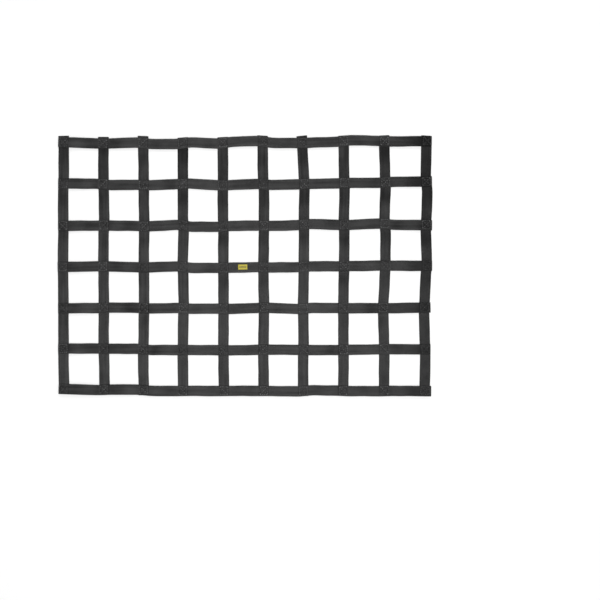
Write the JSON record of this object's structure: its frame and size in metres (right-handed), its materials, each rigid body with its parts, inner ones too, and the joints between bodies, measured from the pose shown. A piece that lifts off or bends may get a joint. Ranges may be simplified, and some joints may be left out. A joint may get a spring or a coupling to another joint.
{
  "type": "racing window net",
  "caption": "Rectangular window net of flat dark webbing: upright straps under crosswise straps, sewn at every crossing, with turned-in ends, square openings and a small sewn label.",
  "frame": {"origin": "middle of the net's underside, where it lies flat", "axes": "+X along the crosswise straps to the right, +Y up the net towards its top border, +Z out of its face"},
  "size_m": [0.7034, 0.4904, 0.007],
  "materials": {
    "webbing": "woven, matte with a slight sheen",
    "label_cloth": "fine woven, satin"
  },
  "bodies": {
    "root": {"upright_1": "webbing", "upright_2": "webbing", "upright_3": "webbing", "upright_4": "webbing", "upright_5": "webbing", "upright_6": "webbing", "upright_7": "webbing", "upright_8": "webbing", "upright_9": "webbing", "upright_10": "webbing", "cross_1": "webbing", "cross_2": "webbing", "cross_3": "webbing", "cross_4": "webbing", "cross_5": "webbing", "cross_6": "webbing", "cross_7": "webbing", "label": "label_cloth"}
  },
  "joints": []
}
